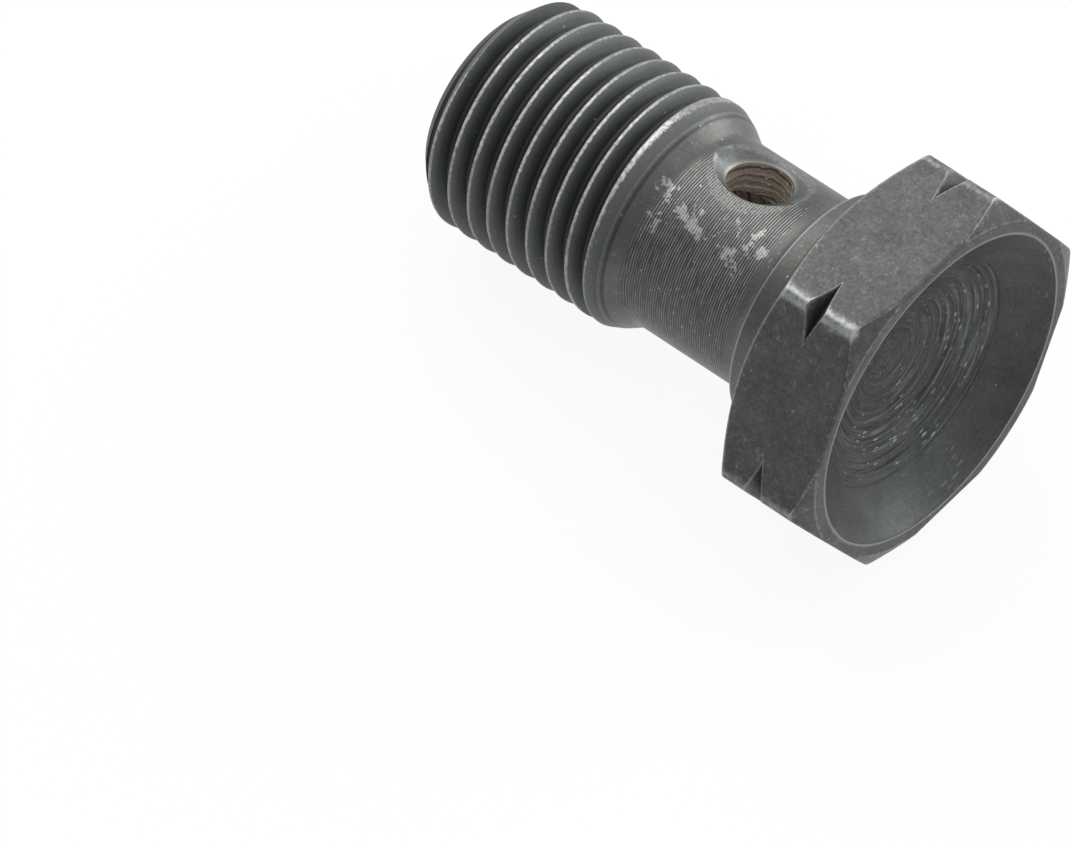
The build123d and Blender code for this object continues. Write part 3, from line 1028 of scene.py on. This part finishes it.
# The crests are paler towards the lit upper side: wear and a painted highlight.
crest_wear_and_highlight = add(tree, "Math", {0: crest, 1: worn_and_lit}, operation="MULTIPLY")
# Lighter up the flanks towards the crest: a painted light.
flank = {"Value": radius, "From Min": THREAD_RADIUS - 0.30, "From Max": THREAD_RADIUS - 0.02}
flank = add(tree, "MapRange", flank)
# Darker towards the root of the groove: a painted shade.
root = {"Value": radius, "From Min": root_radius + 0.25, "From Max": root_radius}
root = add(tree, "MapRange", root)
# The shoulder's slope is painted lighter towards the lit upper side: wear and painted light.
slope = ramp_in(tree, worn_and_lit, height, THREAD_END_Z, THREAD_END_Z + 0.08)
lip = ramp_in(tree, nibbled, off_from(tree, height, SHOULDER_EDGE_Z - 0.03), 0.05, 0.01)
print("thread so far:", len(tree.nodes), "nodes")

# %% [markdown]
# Crumbs of scale and dust gather just under the crests.

# %% Cut thread: colour and grain
crumbs = specks(tree, place, 6.0, 0.5, 0.36)
crumbs = ramp_in(tree, crumbs, radius, THREAD_RADIUS - 0.16, THREAD_RADIUS - 0.04)
colour = painted(tree, mottled(tree, place, "#3e4141", "#464949"), [
    (flank, 0.6, "#696d6d"),
    (root, 0.7, "#2a2d2e"),
    (slope, 0.6, "#5c5e5d"),
    (specks(tree, place, 3.0, 0.22, 0.18), 0.7, "#8d8e88"),
    (crumbs, 0.6, "#8b8a85"),
    (lip, 0.45, "#8b8c89"),
    (crest, 0.85, "#a19f9a"),
    (crest_wear_and_highlight, 0.95, "#d6d4cf"),
])
fine = {"Vector": place, "Scale": GRAINS_PER_MM["threaded"], "Detail": 3.0}
fine = add(tree, "TexNoise", fine)
roughness = add(tree, "MapRange", {"Value": crest, "To Min": 0.50, "To Max": 0.36})
steel(tree, colour, roughness, fine, 0.008, metallic=0.6)

# %% [markdown]
# ### Countersink
# The countersink is cut slowly with a smooth tool, so its oxide is even, and paler than the
# shank's. Both of its rims are thin, and have rubbed through to a fine bright line, the outer one
# broken every sixth of a millimetre or so.

# %% Countersink
tree, place, height, radius = started("countersink")
hole_rim = {"From Min": CROSS_RADIUS + 0.16, "From Max": CROSS_RADIUS + 0.06}
hole_rim = add(tree, "MapRange", hole_rim | {"Value": from_hole(tree, place)})
outer_rim = patchy(tree, place, 6.0, 2.0, 0.34, 0.56)
outer_rim = ramp_in(tree, outer_rim, radius, SHANK_RADIUS - 0.09, SHANK_RADIUS - 0.03)
colour = painted(tree, mottled(tree, place, "#565859", "#666868"), [
    (outer_rim, 0.45, "#8f9091"),
    (hole_rim, 0.6, "#8f8c82"),
])
fine = add(tree, "TexNoise", {"Vector": place, "Scale": GRAINS_PER_MM["countersunk"]})
steel(tree, colour, 0.4, fine, 0.004)

# %% [markdown]
# ### Drillings
# Inside the drillings the oxide is thin and has browned with damp, over the coarse rings that a
# dull drill leaves, about three to the millimetre. Their colours are painted paler than the rust
# itself, the bore's most, as painted light for the light that reaches inside, and the pale ridges
# of the rings are partly a painted highlight. Rust is no metal, so little of the look is metallic.
# The rings lie across each drill's own axis, so the cross drilling and the bore get a material
# each, made by one loop. Towards the tip the bore has kept its oxide.

# %% Drillings
RING_SPACING = 0.3
BROWN_ABOVE, BLACK_BELOW = -7.5, -10.5
for name, drill_axis, dark, light in (
    # Both pairs of colours are rust painted paler for the light inside the holes: painted light,
    # most in the bore.
    ("browned_and_lit_cross_drilling", hole_axis, "#8a7f74", "#aba195"),
    ("browned_and_lit_bore", (0, 0, 1), "#c0b2a4", "#ddd2c6"),
):
    tree, place, height, radius = started(name)
    depth = add(tree, "VectorMath", {0: place, 1: drill_axis}, "Value", operation="DOT_PRODUCT")
    depth = roughened(tree, depth, 0.5, place, 1.2, 3.0)
    rings = {"W": depth, "Scale": 1 / RING_SPACING, "Detail": 3.0, "Roughness": 0.7}
    rings = add(tree, "TexNoise", rings, noise_dimensions="1D")
    ridges = add(tree, "MapRange", {"Value": rings, "From Min": 0.54, "From Max": 0.62})
    furrows = add(tree, "MapRange", {"Value": rings, "From Min": 0.49, "From Max": 0.39})
    rust = patchy(tree, place, 2.5, 5.0, 0.4, 0.6, roughness=0.65)
    near_tip = {"Value": height, "From Min": BROWN_ABOVE, "From Max": BLACK_BELOW}
    near_tip = add(tree, "MapRange", near_tip)
    colour = painted(tree, mottled(tree, place, dark, light), [
        (rust, 0.5, "#9d8c7a"),
        (furrows, 0.8, "#3b3732"),
        # The pale ridges of the rings: partly a painted highlight.
        (ridges, 0.8, "#ddd8cf"),
        (specks(tree, place, 4.0, 0.35, 0.40), 0.8, "#e0dbd2"),
        (near_tip, 0.85, "#474441"),
    ])
    relief = add(tree, "Math", {0: rings, 1: 2.0, 2: rust}, operation="MULTIPLY_ADD")
    steel(tree, colour, 0.5, relief, 0.03, metallic=0.1)

# %% [markdown]
# ## Floor, world and lamps
# The bolt lies on white paper in a light tent: a world that is brighter at the back, a soft lamp
# behind, and one from the upper left, which draws the bright line along the top of every crest and
# corner. The camera and the mirror of the metal see the paper as white, and the rest of its light
# is real, so the bolt keeps a shadow.

# %% Floor
PAPER_WIDTH = 2.4
WHITE_SHARE = 0.92
bpy.ops.object.select_all(action="DESELECT")
bpy.ops.mesh.primitive_plane_add(size=PAPER_WIDTH)
floor = bpy.context.object
floor.name = "floor"
white_paper = bpy.data.materials.new("white_paper")
tree = emptied(white_paper)
paper = add(tree, "BsdfDiffuse", {"Color": srgb("#f4f4f4")})
glow = add(tree, "Emission", {"Color": (1, 1, 1, 1), "Strength": 1.0})
seen = add(tree, "LightPath", output="Is Camera Ray")
mirrored = add(tree, "LightPath", output="Is Glossy Ray")
either = add(tree, "Math", {0: seen, 1: mirrored}, operation="MAXIMUM")
share = add(tree, "Math", {0: either, 1: WHITE_SHARE}, operation="MULTIPLY")
sheet = add(tree, "MixShader", {0: share, 1: paper, 2: glow})
add(tree, "OutputMaterial", {"Surface": sheet}, output=None)
floor.data.materials.append(white_paper)
floor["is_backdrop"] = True
print("floor:", round(floor.dimensions.x, 2), "m wide")

# %% World and lamps
TOWARDS_BACK = (0.0, 0.95, 0.2)
TENT_FRONT, TENT_BACK = 0.44, 1.3
world = bpy.data.worlds.new("studio")
bpy.context.scene.world = world
tree = emptied(world)
reach = {0: add(tree, "TexCoord", output="Generated"), 1: TOWARDS_BACK}
reach = add(tree, "VectorMath", reach, "Value", operation="DOT_PRODUCT")
level = {"From Min": -0.9, "From Max": 0.9, "To Min": TENT_FRONT, "To Max": TENT_BACK}
level = add(tree, "MapRange", level | {"Value": reach}, interpolation_type="SMOOTHSTEP")
add(tree, "OutputWorld", {0: add(tree, "Background", {0: (1, 1, 1, 1), 1: level})}, output=None)


def soft_lamp(name, place, size, power):
    """A square area lamp that looks at the bolt."""
    bpy.ops.object.light_add(type="AREA", location=place)
    lamp = bpy.context.object
    lamp.name = name
    lamp.data.size = size
    lamp.data.energy = power
    lamp.rotation_mode = "QUATERNION"
    lamp.rotation_quaternion = (-Vector(place)).to_track_quat("-Z", "Y")
    print(name, "lamp:", size, "m wide,", power, "W")


soft_lamp("right_back", (0.15, 0.38, 0.06), 0.3, 1.0)
soft_lamp("upper_left", (-0.27, 0.12, 0.34), 0.35, 0.6)
bpy.context.scene.view_settings.view_transform = "Standard"

# %% [markdown]
# ## Finish
# The bolt's own box is written out beside the box of the solid it stands for, and the scene
# closes.

# %% Finish
visual_box = [list(corner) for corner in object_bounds()]
for solid, seen in zip(cad_box, visual_box):
    print("CAD corner", [round(c / MM, 2) for c in solid])
    print("bolt corner", [round(c / MM, 2) for c in seen])
